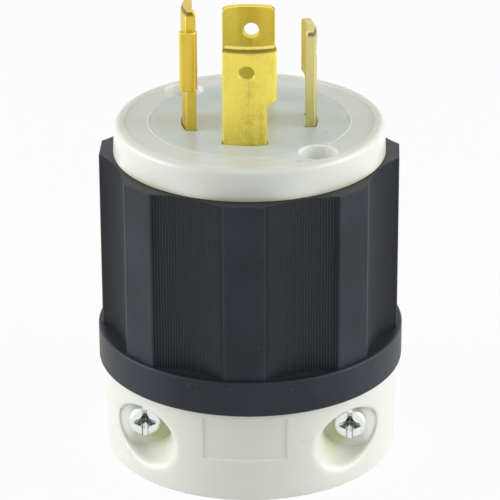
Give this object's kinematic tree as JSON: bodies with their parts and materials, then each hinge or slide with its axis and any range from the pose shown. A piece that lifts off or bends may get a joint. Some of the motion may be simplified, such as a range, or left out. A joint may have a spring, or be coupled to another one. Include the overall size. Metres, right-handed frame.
{
  "type": "locking power plug",
  "caption": "Twist-lock power plug with curved brass blades, white nylon face and rear housing, ribbed black shell and a cord clamp.",
  "frame": {"origin": "centre of the rear housing's flat bottom, where the plug stands", "axes": "+Z along the plug's axis, from the cord entry towards the blades; -Y towards the two clamp screws; -X towards the ground blade"},
  "size_m": [0.0502, 0.0502, 0.077],
  "materials": {
    "white_nylon": "moulded white nylon, slightly translucent, soft gloss",
    "black_nylon": "moulded black nylon, satin",
    "blade_brass": "stamped brass, as rolled",
    "plated_steel": "bright zinc plate",
    "green_steel": "green dyed plate"
  },
  "bodies": {
    "root": {"assembly_insert_back": "blade_brass", "assembly_insert_front": "blade_brass", "assembly_screw_back": "plated_steel", "assembly_screw_front": "plated_steel", "blade_ground": "blade_brass", "blade_line_x": "blade_brass", "blade_line_y": "blade_brass", "blade_neutral": "blade_brass", "clamp_jaw": "white_nylon", "clamp_nut_left": "plated_steel", "clamp_nut_right": "plated_steel", "clamp_screw_left": "plated_steel", "clamp_screw_right": "plated_steel", "front_body": "white_nylon", "rear_housing": "white_nylon", "shell": "black_nylon", "terminal_retainer": "black_nylon", "terminal_screw_ground": "green_steel", "terminal_screw_line_x": "plated_steel", "terminal_screw_line_y": "plated_steel", "terminal_screw_neutral": "plated_steel", "wire_plate_ground": "blade_brass", "wire_plate_line_x": "blade_brass", "wire_plate_line_y": "blade_brass", "wire_plate_neutral": "blade_brass"}
  },
  "joints": []
}
